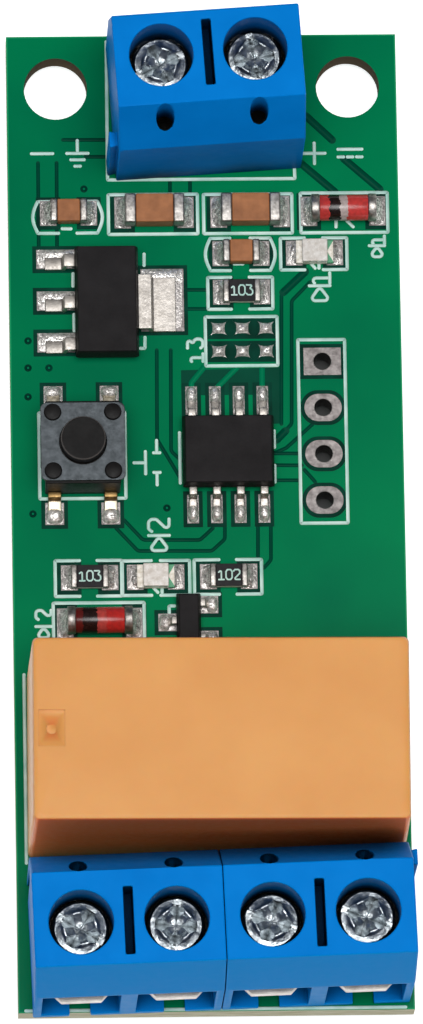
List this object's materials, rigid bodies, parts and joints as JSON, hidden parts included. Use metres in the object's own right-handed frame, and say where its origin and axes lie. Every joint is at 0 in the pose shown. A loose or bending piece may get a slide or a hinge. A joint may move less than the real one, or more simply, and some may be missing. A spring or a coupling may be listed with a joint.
{
  "type": "relay module",
  "caption": "Relay module on a narrow circuit board with screw terminals at both ends, a sealed relay, a push button and small chip parts.",
  "frame": {"origin": "midway between the two mounting holes, on the underside of the board", "axes": "+X along the short edge from one mounting hole to the other, +Y towards the supply terminal's edge, +Z out of the component side"},
  "size_m": [0.021, 0.0536, 0.013],
  "materials": {
    "laminate": "green solder mask over glass-fibre laminate",
    "tinned": "bright tin plating",
    "solder": "smooth bright solder",
    "blue_plastic": "moulded blue polyamide, satin",
    "zinc_steel": "zinc plated steel",
    "orange_plastic": "moulded orange polyester, satin",
    "dark_plastic": "black moulded plastic",
    "copper_alloy": "tinned copper alloy strip",
    "white_plastic": "natural moulded plastic",
    "enamelled_wire": "enamelled copper wire",
    "iron": "plated soft iron",
    "spring_steel": "stainless sheet",
    "moulded_epoxy": "black moulded epoxy",
    "brown_ceramic": "fired brown ceramic",
    "resistor_ceramic": "black coated ceramic",
    "diode_glass": "red glass",
    "light_base": "pale laminate",
    "light_lens": "milky clear resin"
  },
  "bodies": {
    "board": {"circuit_board": "laminate", "solder_lands": "tinned", "solder_joints": "solder", "supply_housing": "blue_plastic", "supply_contacts": "tinned", "output_housing_left": "blue_plastic", "output_housing_right": "blue_plastic", "output_contacts_left": "tinned", "output_contacts_right": "tinned", "relay_case": "orange_plastic", "relay_base": "dark_plastic", "relay_pins": "copper_alloy", "relay_bobbin": "white_plastic", "relay_winding": "enamelled_wire", "relay_core": "iron", "relay_yoke": "iron", "button_base": "dark_plastic", "button_legs": "tinned", "button_dome": "spring_steel", "button_cover": "spring_steel", "regulator_body": "moulded_epoxy", "regulator_leads": "tinned", "controller_body": "moulded_epoxy", "controller_leads": "tinned", "transistor_body": "moulded_epoxy", "transistor_leads": "tinned", "capacitor_1": "brown_ceramic", "capacitor_2": "brown_ceramic", "capacitor_3": "brown_ceramic", "capacitor_4": "brown_ceramic", "capacitor_ends": "tinned", "resistor_1": "resistor_ceramic", "resistor_2": "resistor_ceramic", "resistor_3": "resistor_ceramic", "resistor_ends": "tinned", "diode_1_glass": "diode_glass", "diode_2_glass": "diode_glass", "diode_caps": "tinned", "light_1_base": "light_base", "light_2_base": "light_base", "light_1_lens": "light_lens", "light_2_lens": "light_lens"},
    "supply_screw_left": {"supply_screw_left": "zinc_steel"},
    "supply_cage_left": {"supply_cage_left": "zinc_steel"},
    "supply_screw_right": {"supply_screw_right": "zinc_steel"},
    "supply_cage_right": {"supply_cage_right": "zinc_steel"},
    "output_screw_1": {"output_screw_1": "zinc_steel"},
    "output_cage_1": {"output_cage_1": "zinc_steel"},
    "output_screw_2": {"output_screw_2": "zinc_steel"},
    "output_cage_2": {"output_cage_2": "zinc_steel"},
    "output_screw_3": {"output_screw_3": "zinc_steel"},
    "output_cage_3": {"output_cage_3": "zinc_steel"},
    "output_screw_4": {"output_screw_4": "zinc_steel"},
    "output_cage_4": {"output_cage_4": "zinc_steel"},
    "armature": {"relay_armature": "iron", "relay_carrier": "white_plastic", "relay_blades": "copper_alloy"},
    "button_plunger": {"button_plunger": "dark_plastic"}
  },
  "joints": [
    {"name": "supply_screw_left_turn", "type": "hinge", "parent": "board", "child": "supply_screw_left", "pos_m": [-0.00246, -0.00079, 0.0087], "axis": [0, 0, -1], "range_deg": [0, 1369]},
    {"name": "supply_cage_left_rise", "type": "slide", "parent": "board", "child": "supply_cage_left", "axis": [0, 0, 1], "range_m": [0, 0.0019]},
    {"name": "supply_screw_right_turn", "type": "hinge", "parent": "board", "child": "supply_screw_right", "pos_m": [0.00254, -0.00047, 0.0087], "axis": [0, 0, -1], "range_deg": [0, 1369]},
    {"name": "supply_cage_right_rise", "type": "slide", "parent": "board", "child": "supply_cage_right", "axis": [0, 0, 1], "range_m": [0, 0.0019]},
    {"name": "output_screw_1_turn", "type": "hinge", "parent": "board", "child": "output_screw_1", "pos_m": [-0.00735, -0.04746, 0.0087], "axis": [0, 0, -1], "range_deg": [0, 1369]},
    {"name": "output_cage_1_rise", "type": "slide", "parent": "board", "child": "output_cage_1", "axis": [0, 0, 1], "range_m": [0, 0.0019]},
    {"name": "output_screw_2_turn", "type": "hinge", "parent": "board", "child": "output_screw_2", "pos_m": [-0.00235, -0.0473, 0.0087], "axis": [0, 0, -1], "range_deg": [0, 1369]},
    {"name": "output_cage_2_rise", "type": "slide", "parent": "board", "child": "output_cage_2", "axis": [0, 0, 1], "range_m": [0, 0.0019]},
    {"name": "output_screw_3_turn", "type": "hinge", "parent": "board", "child": "output_screw_3", "pos_m": [0.00265, -0.04714, 0.0087], "axis": [0, 0, -1], "range_deg": [0, 1369]},
    {"name": "output_cage_3_rise", "type": "slide", "parent": "board", "child": "output_cage_3", "axis": [0, 0, 1], "range_m": [0, 0.0019]},
    {"name": "output_screw_4_turn", "type": "hinge", "parent": "board", "child": "output_screw_4", "pos_m": [0.00765, -0.04698, 0.0087], "axis": [0, 0, -1], "range_deg": [0, 1369]},
    {"name": "output_cage_4_rise", "type": "slide", "parent": "board", "child": "output_cage_4", "axis": [0, 0, 1], "range_m": [0, 0.0019]},
    {"name": "armature_swing", "type": "hinge", "parent": "board", "child": "armature", "pos_m": [0.00042, -0.0372, 0.0102], "axis": [0.007, 1, 0], "range_deg": [0, 3], "stiffness_Nm_per_rad": 0.01, "springref_deg": -5.73},
    {"name": "button_press", "type": "slide", "parent": "board", "child": "button_plunger", "axis": [0, 0, -1], "range_m": [0, 0.00025], "stiffness_N_per_m": 6400, "deforming": ["button_dome"]}
  ],
  "couplings": [
    {"joint": "supply_screw_left_turn", "follows": "supply_cage_left_rise", "rad_per_m": 12566},
    {"joint": "supply_screw_right_turn", "follows": "supply_cage_right_rise", "rad_per_m": 12566},
    {"joint": "output_screw_1_turn", "follows": "output_cage_1_rise", "rad_per_m": 12566},
    {"joint": "output_screw_2_turn", "follows": "output_cage_2_rise", "rad_per_m": 12566},
    {"joint": "output_screw_3_turn", "follows": "output_cage_3_rise", "rad_per_m": 12566},
    {"joint": "output_screw_4_turn", "follows": "output_cage_4_rise", "rad_per_m": 12566}
  ]
}
